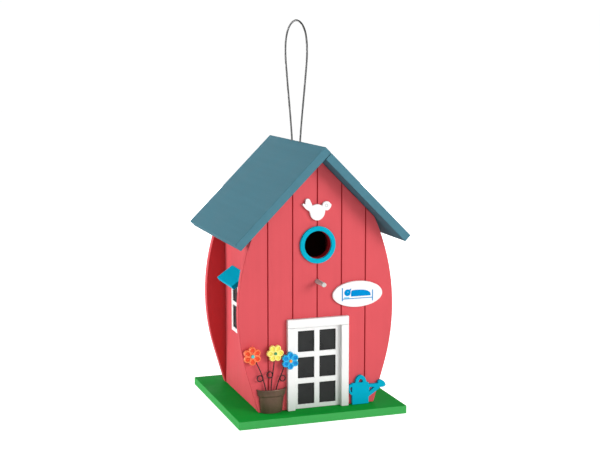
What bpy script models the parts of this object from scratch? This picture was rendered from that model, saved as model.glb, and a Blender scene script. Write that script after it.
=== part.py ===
"""A hanging birdhouse: a red board house with bowed sides under a gable roof.

A door, windows, flowers in a pot, a watering can, a sign and a bird are fixed to it,
and a wire rope loop through the ridge holds it up. Metres, +Z up, the front faces -Y,
and the origin is the centre of the base's underside.
"""

import math

import bmesh
import bpy
from mathutils import Vector

MM = 0.001
GAP = 0.3 * MM
WELD = 0.001 * MM
FLAT_ANGLE = math.radians(0.1)

# Boards of the house
BOARD = 8.5 * MM
BOARD_EDGE = 0.6 * MM
BASE_SIDE = 180.0 * MM
FLOOR_Z = BOARD + GAP
FRONT_Y = -66.2 * MM
SIDE_X = 62.2 * MM
BARREL_RADIUS = 220.0 * MM
BARREL_HALF_WIDTH = 83.1 * MM
BARREL_CENTRE_Z = 110.0 * MM
BARREL_STRAIGHT_Z = 48.0 * MM
BARREL_STEPS = 18

# Roof: two boards at 45 degrees, the right one butted against the left one
ROOF_PITCH = math.radians(45.0)
ROOF_TOP_Z = 278.4 * MM
ROOF_DEPTH = 180.0 * MM
EAVE_X = {"left": 93.0 * MM, "right": 92.2 * MM}
RIDGE_UNDER_Z = ROOF_TOP_Z - BOARD / math.cos(ROOF_PITCH)

# Front wall details
GROOVE_PITCH = 26.2 * MM
GROOVES_A_SIDE = 2
GROOVE_WIDTH = 1.5 * MM
GROOVE_DEPTH = 1.6 * MM
ENTRANCE_Z = 178.0 * MM
ENTRANCE_RADIUS = 14.0 * MM
RING_INNER = 14.2 * MM
RING_OUTER = 19.0 * MM
RING_THICKNESS = 2.5 * MM
PERCH_Z = 140.3 * MM
PERCH_RADIUS = 2.3 * MM
PERCH_REACH = 21.0 * MM

# Bird, in millimetres from the middle of its body; a third value marks a sharp corner
BIRD_CENTRE = (-0.6 * MM, 211.1 * MM)
BIRD_THICKNESS = 3.0 * MM
BIRD_OUTLINE = (
    (14.6, 7.6, True), (14.3, 5.9), (13.4, 4.1), (11.9, 2.5), (10.0, 1.7),
    (7.9, 2.0, True), (7.7, 0.1), (6.6, -3.5), (3.7, -6.8), (-0.4, -8.1), (-4.6, -6.7),
    (-7.6, -2.8), (-8.5, 0.8), (-11.8, 3.4), (-14.5, 6.2), (-16.0, 8.9), (-15.2, 9.5),
    (-13.1, 8.5, True), (-13.1, 11.5), (-12.5, 13.4), (-10.6, 14.3), (-8.6, 13.2),
    (-7.2, 10.4), (-5.7, 6.9, True), (-3.1, 7.8), (-0.4, 8.2), (2.6, 7.6),
    (4.6, 6.6, True), (5.5, 8.8), (7.5, 10.4), (10.0, 10.8), (12.2, 9.9), (13.4, 8.6),
)

# Sign
SIGN_CENTRE = (43.0 * MM, 125.1 * MM)
SIGN_HALF_WIDTH = 27.2 * MM
SIGN_HALF_HEIGHT = 13.5 * MM
SIGN_THICKNESS = 2.8 * MM
SIGN_STEPS = 56

# Door: a surround, with a lattice of two by three panes let into a pocket in the wall,
# which reaches a little behind the jambs, and a dark panel behind the lattice
DOOR_HALF_WIDTH = 33.0 * MM
DOOR_HEAD_Z = 103.3 * MM
JAMB_WIDTH = 8.0 * MM
HEADER_HEIGHT = 8.7 * MM
SURROUND_THICKNESS = 4.7 * MM
POCKET_DEPTH = 3.2 * MM
POCKET_HALF_WIDTH = 26.0 * MM
LEAF_BAR = 5.6 * MM
LEAF_STILE = 5.2 * MM
LEAF_RAIL = 4.4 * MM
LEAF_THICKNESS = 1.6 * MM
PANEL_THICKNESS = 0.6 * MM

# Side windows, with a small sloping awning over each
WINDOW_HALF_WIDTH = 24.0 * MM
WINDOW_LOW_Z = 75.5 * MM
WINDOW_HIGH_Z = 137.2 * MM
WINDOW_BAR = 4.4 * MM
WINDOW_THICKNESS = 1.2 * MM
AWNING_HALF_WIDTH = 28.0 * MM
AWNING_THICKNESS = 4.6 * MM
AWNING_WALL_Z = 145.0 * MM
AWNING_EDGE_X = 79.4 * MM
AWNING_EDGE_Z = 132.9 * MM

# Half-round flower pot: radius and height of its profile, in millimetres
POT_X = -49.3 * MM
POT_DEPTH_RATIO = 0.577
POT_PROFILE = (
    (0.0, 10.8), (9.8, 10.8), (14.2, 33.4), (15.3, 33.6), (15.8, 33.2),
    (14.2, 26.5), (13.4, 26.0), (11.4, 9.2), (11.1, 8.8), (0.0, 8.8),
)
POT_BLOCK = 60.0 * MM

# Stems: x and z of the foot, the bend and the head in millimetres, then how far along
# the stem its curl is, the curl's radius and its side (-1 is left)
STEM_RADIUS = 0.55 * MM
STEM_FOOT_Z = 12.0
STEM_OUT_LOW = 3.05 * MM
STEM_OUT_HIGH = 4.45 * MM
STEM_STEPS = 9
CURL_STEPS = 16
STEMS = {
    "left": ((-54.0, 21.0), (-57.2, 48.0), (-69.0, 66.5), 0.51, 2.9, -1),
    "middle": ((-51.0, 21.0), (-50.2, 42.0), (-46.9, 66.0), 0.62, 3.0, -1),
    "right": ((-48.5, 21.0), (-42.9, 41.0), (-36.4, 57.5), 0.63, 2.9, 1),
}

# Flower heads: x and z of the middle in millimetres, the first petal's angle, the
# button's radius and the head's size against the full petals
HEAD_OUT = 5.3 * MM
HEAD_THICKNESS = 2.8 * MM
PETALS = 6
PETAL_RADIUS = 3.6 * MM
PETAL_REACH = 6.1 * MM
PETAL_HALF_ARC = math.radians(88.0)
PETAL_STEPS = 9
BUTTON_HEIGHT = 1.1 * MM
BUTTON_STEPS = 5
FLOWERS = {
    "orange": ((-71.0, 69.9), math.radians(90.0), 1.8 * MM, 0.98),
    "yellow": ((-47.1, 71.0), math.radians(60.0), 1.6 * MM, 0.92),
    "blue": ((-31.1, 62.0), math.radians(90.0), 1.6 * MM, 0.96),
}

# Watering can, in millimetres; a third value marks a sharp corner
CAN_THICKNESS = 3.5 * MM
CAN_OUTLINE = (
    (37.6, 8.8, True), (55.8, 8.8, True), (55.8, 15.8, True), (62.6, 20.2, True),
    (69.3, 24.8, True), (72.8, 25.0), (74.5, 26.2), (74.0, 29.0), (71.8, 31.5),
    (68.4, 32.5), (65.9, 31.5, True), (66.4, 30.2), (65.4, 29.0, True), (55.8, 29.1, True),
    (55.5, 31.2, True), (53.4, 31.3, True), (52.5, 34.5), (50.4, 37.8), (47.0, 39.4),
    (43.7, 38.1), (41.6, 35.0), (40.8, 31.5, True), (37.5, 31.3, True), (37.4, 30.1, True),
    (35.4, 30.3), (34.0, 28.6), (34.2, 23.2), (35.3, 20.3), (37.5, 18.4, True),
)
CAN_TOP_HOLE = ((44.5, 31.6, True), (49.2, 31.5, True), (48.9, 33.7), (46.9, 35.4), (44.8, 33.8))
CAN_SIDE_HOLE = ((35.7, 27.2), (37.3, 27.6, True), (37.3, 21.4, True), (35.9, 23.0))
CAN_SPOUT_HOLE = ((56.4, 25.6, True), (62.4, 25.6, True), (56.4, 20.9, True))

# Hanging loop of wire rope: y and z of one leg in millimetres, from its end to the top
ROPE_RADIUS = 1.05 * MM
ROPE_HOLE_RADIUS = 1.7 * MM
ROPE_SPACING = 4.2 * MM
ROPE_CURVE_STEPS = 20
ROPE_LEG = (
    (13.3, 255.6), (13.3, 266.0), (13.4, 279.0), (17.8, 299.5), (22.5, 317.3),
    (27.3, 335.2), (31.1, 350.3), (33.8, 361.8), (34.5, 372.0), (33.0, 382.2),
    (27.6, 391.9), (16.5, 399.3),
)
ROPE_TOP = (0.0, 402.5)
FERRULE_RADIUS = 2.4 * MM
FERRULE_LOW_Z = 256.4 * MM
FERRULE_HIGH_Z = 263.0 * MM
FERRULE_ROUND = 0.4 * MM

# Clean-out opening in the back wall, and the cover that swings on one screw
CLEANOUT_HALF_WIDTH = 28.0 * MM
CLEANOUT_LOW_Z = 26.0 * MM
CLEANOUT_HIGH_Z = 78.0 * MM
CLEANOUT_CORNER = 6.0 * MM
COVER_HALF_WIDTH = 34.0 * MM
COVER_LOW_Z = 18.0 * MM
COVER_HIGH_Z = 96.0 * MM
COVER_CORNER = 5.0 * MM
COVER_THICKNESS = 3.0 * MM
PIVOT_Z = 88.0 * MM
WASHER_RADIUS = 4.0 * MM
WASHER_THICKNESS = 0.6 * MM
CORNER_STEPS = 5

# Screws
SHANK_RADIUS = 1.5 * MM
PILOT_RADIUS = SHANK_RADIUS + GAP
PAN_RADIUS = 3.2 * MM
PAN_HEIGHT = 2.2 * MM
PAN_DOME = ((1.0, 0.5), (0.85, 0.85), (0.5, 1.0), (0.0, 1.0))
PAN_SCREW_LENGTH = 12.0 * MM
BASE_HEAD_RADIUS = 3.0 * MM
BASE_SCREW_LENGTH = 22.0 * MM
BASE_SCREW_X = 40.0 * MM
BASE_SCREW_Y = 61.95 * MM
TIP_LENGTH = 3.0 * MM
TIP_RADIUS = 0.3 * MM
CROSS_WIDTH = 0.8 * MM
CROSS_LENGTH = 3.2 * MM
CROSS_DEPTH = 1.2 * MM

# Outline planes: the front faces -Y, and the sides face +X and -X
FACING_FRONT = (math.radians(90.0), 0.0, 0.0)
FACING_SIDE = (math.radians(90.0), 0.0, math.radians(90.0))
UPRIGHT = (0.0, 0.0, 0.0)

RED = (0.91, 0.36, 0.39)
BLUE = (0.33, 0.49, 0.55)
GREEN = (0.20, 0.63, 0.28)
WHITE = (0.95, 0.95, 0.94)
CYAN = (0.06, 0.72, 0.83)
TEAL = (0.02, 0.62, 0.72)
DARK = (0.10, 0.10, 0.11)
POT_BROWN = (0.35, 0.29, 0.24)
STEEL = (0.66, 0.67, 0.68)
BRASS_YELLOW = (0.80, 0.66, 0.36)
BARE_WOOD = (0.86, 0.76, 0.66)
COVER_RED = (0.86, 0.33, 0.36)


def clear_scene():
    for found in list(bpy.data.objects):
        bpy.data.objects.remove(found)


def collection(name):
    made = bpy.data.collections.new(name)
    bpy.context.scene.collection.children.link(made)
    return made


def linear(channel):
    """An sRGB channel, from 0 to 1, as linear light."""
    if channel <= 0.04045:
        return channel / 12.92
    return ((channel + 0.055) / 1.055) ** 2.4


def finish(solid, colour, roughness, metallic=0.0):
    """Gives the solid a material of its own."""
    paint = bpy.data.materials.new(solid.name + "_finish")
    paint.use_nodes = True
    shader = paint.node_tree.nodes["Principled BSDF"]
    red, green, blue = (linear(channel) for channel in colour)
    shader.inputs["Base Color"].default_value = (red, green, blue, 1.0)
    shader.inputs["Roughness"].default_value = roughness
    shader.inputs["Metallic"].default_value = metallic
    solid.data.materials.append(paint)
    return solid


def object_of(name, mesh, place, turn=UPRIGHT):
    solid = bpy.data.objects.new(name, mesh)
    solid.location = place
    solid.rotation_euler = turn
    PARTS.objects.link(solid)
    return solid


def box(name, size, place, turn=UPRIGHT):
    mesh = bpy.data.meshes.new(name)
    made = bmesh.new()
    bmesh.ops.create_cube(made, size=1.0)
    bmesh.ops.scale(made, vec=size, verts=made.verts)
    made.to_mesh(mesh)
    made.free()
    return object_of(name, mesh, place, turn)


def cylinder(name, radius, length, place, turn=UPRIGHT, segments=24):
    """A cylinder along local Z, centred on its place."""
    mesh = bpy.data.meshes.new(name)
    made = bmesh.new()
    bmesh.ops.create_cone(
        made, cap_ends=True, segments=segments, radius1=radius, radius2=radius, depth=length
    )
    made.to_mesh(mesh)
    made.free()
    return object_of(name, mesh, place, turn)


def turned(name, profile, place, turn=UPRIGHT, closed=False, steps=24):
    """Turns a profile of (radius, height) about local Z; it runs down its outer side."""
    mesh = bpy.data.meshes.new(name)
    made = bmesh.new()
    points = [made.verts.new((radius, 0.0, height)) for radius, height in profile]
    for first, second in zip(points, points[1:]):
        made.edges.new((first, second))
    if closed:
        made.edges.new((points[-1], points[0]))
    made.to_mesh(mesh)
    made.free()
    solid = object_of(name, mesh, place, turn)
    screw = solid.modifiers.new("Turn", "SCREW")
    screw.steps = steps
    screw.render_steps = steps
    screw.use_merge_vertices = True
    screw.merge_threshold = 0.01 * MM
    return solid


def mesh_from_curve(name, curve, place, turn):
    """The curve's solid as a mesh object, with its caps welded to its sides."""
    guide = object_of(name + "_curve", curve, place, turn)
    bpy.context.view_layer.update()
    graph = bpy.context.evaluated_depsgraph_get()
    mesh = bpy.data.meshes.new_from_object(guide.evaluated_get(graph))
    mesh.name = name
    made = bmesh.new()
    made.from_mesh(mesh)
    bmesh.ops.remove_doubles(made, verts=made.verts, dist=WELD)
    bmesh.ops.dissolve_limit(
        made, angle_limit=FLAT_ANGLE, verts=made.verts, edges=made.edges
    )
    bmesh.ops.recalc_face_normals(made, faces=made.faces)
    made.to_mesh(mesh)
    made.free()
    solid = object_of(name, mesh, place)
    solid.matrix_world = guide.matrix_world.copy()
    bpy.data.objects.remove(guide)
    return solid


def add_outline(curve, outline):
    """Adds one closed outline, smooth except at its sharp corners."""
    if not any(len(point) < 3 for point in outline):
        spline = curve.splines.new("POLY")
        spline.points.add(len(outline) - 1)
        for made, point in zip(spline.points, outline):
            made.co = (point[0], point[1], 0.0, 1.0)
    else:
        spline = curve.splines.new("BEZIER")
        spline.bezier_points.add(len(outline) - 1)
        for made, point in zip(spline.bezier_points, outline):
            handle = "VECTOR" if len(point) == 3 else "AUTO"
            made.co = (point[0], point[1], 0.0)
            made.handle_left_type = handle
            made.handle_right_type = handle
    spline.use_cyclic_u = True


def plate(name, outlines, thickness, place, turn=FACING_FRONT, smoothness=3):
    """A flat piece from its outline and the outlines of its holes."""
    curve = bpy.data.curves.new(name, "CURVE")
    curve.dimensions = "2D"
    curve.fill_mode = "BOTH"
    curve.extrude = thickness / 2
    curve.resolution_u = smoothness
    for outline in outlines:
        add_outline(curve, outline)
    return mesh_from_curve(name, curve, place, turn)


def tube(name, points, radius):
    """A round wire through its points."""
    curve = bpy.data.curves.new(name, "CURVE")
    curve.dimensions = "3D"
    curve.bevel_depth = radius
    curve.bevel_resolution = 2
    curve.use_fill_caps = True
    spline = curve.splines.new("POLY")
    spline.points.add(len(points) - 1)
    for made, point in zip(spline.points, points):
        made.co = (*point, 1.0)
    solid = mesh_from_curve(name, curve, (0.0, 0.0, 0.0), UPRIGHT)
    smooth(solid)
    return solid


def smooth(solid):
    solid.data.shade_smooth()
    solid.data.set_sharp_from_angle(angle=math.radians(40.0))


def bevel(solid, width=BOARD_EDGE, segments=2):
    """Rounds the solid's sharp edges."""
    rounding = solid.modifiers.new("Rounded edges", "BEVEL")
    rounding.width = width
    rounding.segments = segments
    rounding.limit_method = "ANGLE"
    rounding.angle_limit = math.radians(30.0)
    return solid


def combine(solid, tool, operation="DIFFERENCE"):
    """Cuts the solid with a tool, which leaves the visible parts."""
    boolean = solid.modifiers.new(tool.name, "BOOLEAN")
    boolean.operation = operation
    boolean.solver = "EXACT"
    boolean.object = tool
    if tool.name in PARTS.objects:
        PARTS.objects.unlink(tool)
        CUTTERS.objects.link(tool)
        tool.hide_render = True
        tool.display_type = "WIRE"


def corners(points):
    """The points as sharp corners."""
    return [(x, z, True) for x, z in points]


def in_metres(outline):
    return [(point[0] * MM, point[1] * MM, *point[2:]) for point in outline]


def rectangle(low_x, high_x, low_z, high_z):
    return corners([(low_x, low_z), (high_x, low_z), (high_x, high_z), (low_x, high_z)])


def rounded_rectangle(low_x, high_x, low_z, high_z, radius):
    """A rectangle whose corners are arcs."""
    middles = (
        (high_x - radius, low_z + radius, -90.0),
        (high_x - radius, high_z - radius, 0.0),
        (low_x + radius, high_z - radius, 90.0),
        (low_x + radius, low_z + radius, 180.0),
    )
    points = []
    for x, z, start in middles:
        for step in range(CORNER_STEPS + 1):
            angle = math.radians(start + 90.0 * step / CORNER_STEPS)
            points.append((x + radius * math.cos(angle), z + radius * math.sin(angle)))
    return corners(points)


def lattice(low_x, high_x, low_z, high_z, stile, rail, bar, columns, rows):
    """The outline of a glazing lattice and of each of its panes."""
    outlines = [rectangle(low_x, high_x, low_z, high_z)]
    pane_width = (high_x - low_x - 2 * stile - (columns - 1) * bar) / columns
    pane_height = (high_z - low_z - 2 * rail - (rows - 1) * bar) / rows
    for column in range(columns):
        x = low_x + stile + column * (pane_width + bar)
        for row in range(rows):
            z = low_z + rail + row * (pane_height + bar)
            outlines.append(rectangle(x, x + pane_width, z, z + pane_height))
    return outlines


def barrel_side():
    """Points up the bowed right edge of the front and back walls, to the roof."""
    centre_x = BARREL_HALF_WIDTH - BARREL_RADIUS
    low = math.asin((BARREL_STRAIGHT_Z - BARREL_CENTRE_Z) / BARREL_RADIUS)
    roof_line = RIDGE_UNDER_Z - GAP / math.cos(ROOF_PITCH)
    reach = (roof_line - centre_x - BARREL_CENTRE_Z) / math.sqrt(2.0)
    high = ROOF_PITCH - math.acos(reach / BARREL_RADIUS)
    start_x = centre_x + BARREL_RADIUS * math.cos(low)
    foot_x = start_x + math.tan(low) * (BARREL_STRAIGHT_Z - FLOOR_Z)
    points = [(foot_x, FLOOR_Z)]
    for step in range(BARREL_STEPS + 1):
        angle = low + (high - low) * step / BARREL_STEPS
        x = centre_x + BARREL_RADIUS * math.cos(angle)
        points.append((x, BARREL_CENTRE_Z + BARREL_RADIUS * math.sin(angle)))
    return points


def wall_outline():
    right = barrel_side()
    apex = [(0.0, RIDGE_UNDER_Z - GAP / math.cos(ROOF_PITCH))]
    left = [(-x, z) for x, z in reversed(right)]
    return corners(right + apex + left)


def screw_profile(head_radius, head_height, length):
    """A countersunk screw standing on its head."""
    return (
        (0.0, length),
        (TIP_RADIUS, length),
        (SHANK_RADIUS, length - TIP_LENGTH),
        (SHANK_RADIUS, head_height),
        (head_radius, 0.3 * MM),
        (head_radius, 0.0),
        (0.0, 0.0),
    )


def cut_cross(screw, place, turn=UPRIGHT):
    """Cuts a cross recess into a screw's head."""
    for size in ((CROSS_WIDTH, CROSS_LENGTH), (CROSS_LENGTH, CROSS_WIDTH)):
        name = f"{screw.name}_cross_{round(size[0] / MM)}"
        combine(screw, box(name, (*size, 2 * CROSS_DEPTH), place, turn))


def base_screw_places():
    for end, y in (("front", -BASE_SCREW_Y), ("back", BASE_SCREW_Y)):
        for side, x in (("left", -BASE_SCREW_X), ("right", BASE_SCREW_X)):
            yield f"{end}_{side}", x, y


def make_base():
    base = box("base_board", (BASE_SIDE, BASE_SIDE, BOARD), (0.0, 0.0, BOARD / 2))
    bevel(base)
    head_height = BASE_HEAD_RADIUS - SHANK_RADIUS
    for where, x, y in base_screw_places():
        seat = (
            (0.0, 2 * BOARD),
            (PILOT_RADIUS, 2 * BOARD),
            (PILOT_RADIUS, head_height + GAP),
            (BASE_HEAD_RADIUS + GAP, GAP),
            (BASE_HEAD_RADIUS + GAP, -GAP),
            (0.0, -GAP),
        )
        combine(base, turned(f"seat_{where}", seat, (x, y, GAP)))
    finish(base, GREEN, 0.55)


def make_base_screws():
    profile = screw_profile(
        BASE_HEAD_RADIUS, BASE_HEAD_RADIUS - SHANK_RADIUS, BASE_SCREW_LENGTH
    )
    for where, x, y in base_screw_places():
        screw = turned(f"base_screw_{where}", profile, (x, y, GAP))
        cut_cross(screw, (x, y, GAP))
        finish(screw, BRASS_YELLOW, 0.35, 1.0)


def drill_for_base_screws(wall, end):
    for where, x, y in base_screw_places():
        if where.startswith(end):
            length = 2 * (BASE_SCREW_LENGTH - BOARD + GAP)
            combine(wall, cylinder(f"pilot_{where}", PILOT_RADIUS, length, (x, y, BOARD)))


def make_front_wall():
    middle_y = FRONT_Y + BOARD / 2
    wall = plate("front_wall", [wall_outline()], BOARD, (0.0, middle_y, 0.0))
    bevel(wall)
    root = FRONT_Y + GROOVE_DEPTH
    mouth = FRONT_Y - GROOVE_DEPTH
    for number in range(-GROOVES_A_SIDE, GROOVES_A_SIDE + 1):
        vee = corners([(-GROOVE_WIDTH, mouth), (GROOVE_WIDTH, mouth), (0.0, root)])
        place = (number * GROOVE_PITCH, 0.0, ROOF_TOP_Z / 2)
        groove = plate(f"groove_{number + GROOVES_A_SIDE}", [vee], ROOF_TOP_Z, place, UPRIGHT)
        combine(wall, groove)
    entrance = (0.0, middle_y, ENTRANCE_Z)
    combine(
        wall,
        cylinder("entrance", ENTRANCE_RADIUS, 3 * BOARD, entrance, FACING_FRONT, segments=48),
    )
    peg = (0.0, middle_y, PERCH_Z)
    combine(wall, cylinder("perch_hole", PERCH_RADIUS + GAP, 3 * BOARD, peg, FACING_FRONT))
    pocket_top = DOOR_HEAD_Z - HEADER_HEIGHT
    pocket_size = (2 * POCKET_HALF_WIDTH, 2 * POCKET_DEPTH, 2 * pocket_top)
    combine(wall, box("door_pocket", pocket_size, (0.0, FRONT_Y, 0.0)))
    drill_for_base_screws(wall, "front")
    finish(wall, RED, 0.6)


def make_back_wall():
    middle_y = -FRONT_Y - BOARD / 2
    opening = rounded_rectangle(
        -CLEANOUT_HALF_WIDTH,
        CLEANOUT_HALF_WIDTH,
        CLEANOUT_LOW_Z,
        CLEANOUT_HIGH_Z,
        CLEANOUT_CORNER,
    )
    wall = plate("back_wall", [wall_outline(), opening], BOARD, (0.0, middle_y, 0.0))
    bevel(wall)
    pivot = (0.0, middle_y, PIVOT_Z)
    combine(wall, cylinder("pivot_hole", PILOT_RADIUS, 3 * BOARD, pivot, FACING_FRONT))
    drill_for_base_screws(wall, "back")
    finish(wall, RED, 0.6)


def make_side_walls():
    depth = 2 * (-FRONT_Y - BOARD - GAP)
    roof_line = RIDGE_UNDER_Z - GAP / math.cos(ROOF_PITCH)
    for side, sign in (("left", -1), ("right", 1)):
        inner = SIDE_X - BOARD
        section = [(inner, FLOOR_Z), (SIDE_X, FLOOR_Z)]
        section += [(SIDE_X, roof_line - SIDE_X), (inner, roof_line - inner)]
        outline = corners([(sign * x, z) for x, z in section])
        wall = plate(f"{side}_side_wall", [outline], depth, (0.0, 0.0, 0.0))
        bevel(wall)
        finish(wall, RED, 0.6)


def make_roof():
    starts = {"left": 0.0, "right": BOARD + GAP}
    for side, sign in (("left", -1), ("right", 1)):
        start = starts[side]
        full = EAVE_X[side] / math.cos(ROOF_PITCH)
        along = (start + full) / 2
        down = Vector((sign * math.cos(ROOF_PITCH), 0.0, -math.sin(ROOF_PITCH)))
        out = Vector((sign * math.sin(ROOF_PITCH), 0.0, math.cos(ROOF_PITCH)))
        place = Vector((0.0, 0.0, ROOF_TOP_Z)) + along * down - BOARD / 2 * out
        size = (full - start, ROOF_DEPTH, BOARD)
        board = box(f"roof_board_{side}", size, place, (0.0, sign * ROOF_PITCH, 0.0))
        bevel(board)
        for end, y in (("front", -1), ("back", 1)):
            leg = (0.0, y * ROPE_LEG[0][0] * MM, RIDGE_UNDER_Z)
            name = f"rope_hole_{side}_{end}"
            combine(board, cylinder(name, ROPE_HOLE_RADIUS, 6 * BOARD, leg, segments=20))
        finish(board, BLUE, 0.55)


def make_entrance_ring():
    edge = BOARD_EDGE
    section = (
        (RING_INNER + edge, RING_THICKNESS),
        (RING_OUTER - edge, RING_THICKNESS),
        (RING_OUTER, RING_THICKNESS - edge),
        (RING_OUTER, 0.0),
        (RING_INNER, 0.0),
        (RING_INNER, RING_THICKNESS - edge),
    )
    place = (0.0, FRONT_Y - GAP, ENTRANCE_Z)
    ring = turned("entrance_ring", section, place, FACING_FRONT, closed=True, steps=48)
    finish(ring, CYAN, 0.4)


def make_perch():
    rounding = 0.5 * MM
    length = PERCH_REACH + BOARD - GAP
    profile = (
        (0.0, length),
        (PERCH_RADIUS - rounding, length),
        (PERCH_RADIUS, length - rounding),
        (PERCH_RADIUS, 0.0),
        (0.0, 0.0),
    )
    place = (0.0, FRONT_Y + BOARD - GAP, PERCH_Z)
    finish(turned("perch", profile, place, FACING_FRONT), BARE_WOOD, 0.7)


def on_front(name, outlines, thickness, x=0.0, z=0.0, out=GAP):
    """A plate flat against the front wall, or further out."""
    return plate(name, outlines, thickness, (x, FRONT_Y - out - thickness / 2, z))


def make_bird():
    bird = on_front("bird_cutout", [in_metres(BIRD_OUTLINE)], BIRD_THICKNESS, *BIRD_CENTRE)
    bevel(bird, 0.4 * MM, 1)
    finish(bird, WHITE, 0.4)


def make_sign():
    points = []
    for step in range(SIGN_STEPS):
        angle = 2 * math.pi * step / SIGN_STEPS
        points.append((SIGN_HALF_WIDTH * math.cos(angle), SIGN_HALF_HEIGHT * math.sin(angle)))
    sign = on_front("sign_plate", [corners(points)], SIGN_THICKNESS, *SIGN_CENTRE)
    bevel(sign, 0.4 * MM, 1)
    finish(sign, WHITE, 0.4)


def make_door():
    jamb_top = DOOR_HEAD_Z - HEADER_HEIGHT - GAP
    jamb_size = (JAMB_WIDTH, SURROUND_THICKNESS, jamb_top - FLOOR_Z)
    y = FRONT_Y - GAP - SURROUND_THICKNESS / 2
    for side, sign in (("left", -1), ("right", 1)):
        x = sign * (DOOR_HALF_WIDTH - JAMB_WIDTH / 2)
        jamb = box(f"door_jamb_{side}", jamb_size, (x, y, (jamb_top + FLOOR_Z) / 2))
        finish(bevel(jamb, 0.4 * MM), WHITE, 0.4)
    header_size = (2 * DOOR_HALF_WIDTH, SURROUND_THICKNESS, HEADER_HEIGHT)
    header = box("door_header", header_size, (0.0, y, DOOR_HEAD_Z - HEADER_HEIGHT / 2))
    finish(bevel(header, 0.4 * MM), WHITE, 0.4)

    half_width = POCKET_HALF_WIDTH - GAP
    panes = lattice(
        -half_width,
        half_width,
        FLOOR_Z,
        jamb_top,
        LEAF_STILE,
        LEAF_RAIL,
        LEAF_BAR,
        columns=2,
        rows=3,
    )
    leaf_out = PANEL_THICKNESS + 2 * GAP - POCKET_DEPTH
    leaf = on_front("door_leaf", panes, LEAF_THICKNESS, out=leaf_out)
    finish(bevel(leaf, 0.3 * MM, 1), WHITE, 0.4)
    panel_size = (2 * half_width, PANEL_THICKNESS, jamb_top - FLOOR_Z)
    panel_y = FRONT_Y + POCKET_DEPTH - GAP - PANEL_THICKNESS / 2
    panel = box("door_pane_panel", panel_size, (0.0, panel_y, (jamb_top + FLOOR_Z) / 2))
    finish(panel, DARK, 0.25)


def make_windows():
    middle_z = (WINDOW_LOW_Z + WINDOW_HIGH_Z) / 2
    height = WINDOW_HIGH_Z - WINDOW_LOW_Z
    panes = lattice(
        -WINDOW_HALF_WIDTH,
        WINDOW_HALF_WIDTH,
        -height / 2,
        height / 2,
        WINDOW_BAR,
        WINDOW_BAR,
        WINDOW_BAR,
        columns=2,
        rows=2,
    )
    panel_x = SIDE_X + GAP + PANEL_THICKNESS / 2
    frame_x = SIDE_X + 2 * GAP + PANEL_THICKNESS + WINDOW_THICKNESS / 2
    panel_size = (PANEL_THICKNESS, 2 * (WINDOW_HALF_WIDTH - GAP), height - 2 * GAP)
    for side, sign in (("left", -1), ("right", 1)):
        place = (sign * frame_x, 0.0, middle_z)
        frame = plate(f"window_frame_{side}", panes, WINDOW_THICKNESS, place, FACING_SIDE)
        finish(bevel(frame, 0.3 * MM, 1), WHITE, 0.4)
        panel = box(f"window_pane_{side}", panel_size, (sign * panel_x, 0.0, middle_z))
        finish(panel, DARK, 0.25)


def make_awnings():
    wall_x = SIDE_X + GAP
    slope = math.atan2(AWNING_WALL_Z - AWNING_EDGE_Z, AWNING_EDGE_X - wall_x)
    drop = AWNING_THICKNESS / math.cos(slope)
    inset = AWNING_THICKNESS * math.sin(slope)
    section = (
        (wall_x, AWNING_WALL_Z),
        (AWNING_EDGE_X, AWNING_EDGE_Z),
        (AWNING_EDGE_X - inset, AWNING_EDGE_Z - AWNING_THICKNESS * math.cos(slope)),
        (wall_x, AWNING_WALL_Z - drop),
    )
    for side, sign in (("left", -1), ("right", 1)):
        outline = corners([(sign * x, z) for x, z in section])
        awning = plate(f"awning_{side}", [outline], 2 * AWNING_HALF_WIDTH, (0.0, 0.0, 0.0))
        finish(bevel(awning, 0.4 * MM), TEAL, 0.45)


def make_flower_pot():
    profile = [(radius * MM, height * MM) for radius, height in POT_PROFILE]
    pot = turned("flower_pot", profile, (POT_X, FRONT_Y, 0.0), steps=40)
    pot.scale = (1.0, POT_DEPTH_RATIO, 1.0)
    middle = (POT_X, FRONT_Y - GAP - POT_BLOCK / 2, 0.0)
    front_half = box("pot_front_half", (POT_BLOCK, POT_BLOCK, 2 * POT_BLOCK), middle)
    combine(pot, front_half, "INTERSECT")
    finish(pot, POT_BROWN, 0.5, 0.3)


def stem_path(foot, bend, head, turn_at, radius, side):
    """A bent wire with one full curl, a little further from the wall above the curl."""
    foot, bend, head = (Vector(point) * MM for point in (foot, bend, head))
    low = Vector((foot.x, STEM_FOOT_Z * MM))
    radius = radius * MM

    def along(t):
        return (1 - t) ** 2 * foot + 2 * t * (1 - t) * bend + t**2 * head

    start = along(turn_at)
    heading = ((1 - turn_at) * (bend - foot) + turn_at * (head - bend)).normalized()
    inward = Vector((side * heading.y, -side * heading.x)) * radius
    centre = start + inward
    rise = STEM_OUT_HIGH - STEM_OUT_LOW
    path = [(low, STEM_OUT_LOW)]
    path += [(along(turn_at * i / STEM_STEPS), STEM_OUT_LOW) for i in range(STEM_STEPS)]
    for i in range(CURL_STEPS + 1):
        share = i / CURL_STEPS
        angle = -side * 2 * math.pi * share
        offset = Vector(
            (
                -inward.x * math.cos(angle) + inward.y * math.sin(angle),
                -inward.x * math.sin(angle) - inward.y * math.cos(angle),
            )
        )
        path.append((centre + offset, STEM_OUT_LOW + rise * share))
    rest = 1 - turn_at
    path += [
        (along(turn_at + rest * i / STEM_STEPS), STEM_OUT_HIGH)
        for i in range(1, STEM_STEPS + 1)
    ]
    return [(point.x, FRONT_Y - out, point.y) for point, out in path]


def make_stems():
    for name, shape in STEMS.items():
        stem = tube(f"flower_stem_{name}", stem_path(*shape), STEM_RADIUS)
        finish(stem, DARK, 0.45, 0.8)


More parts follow.
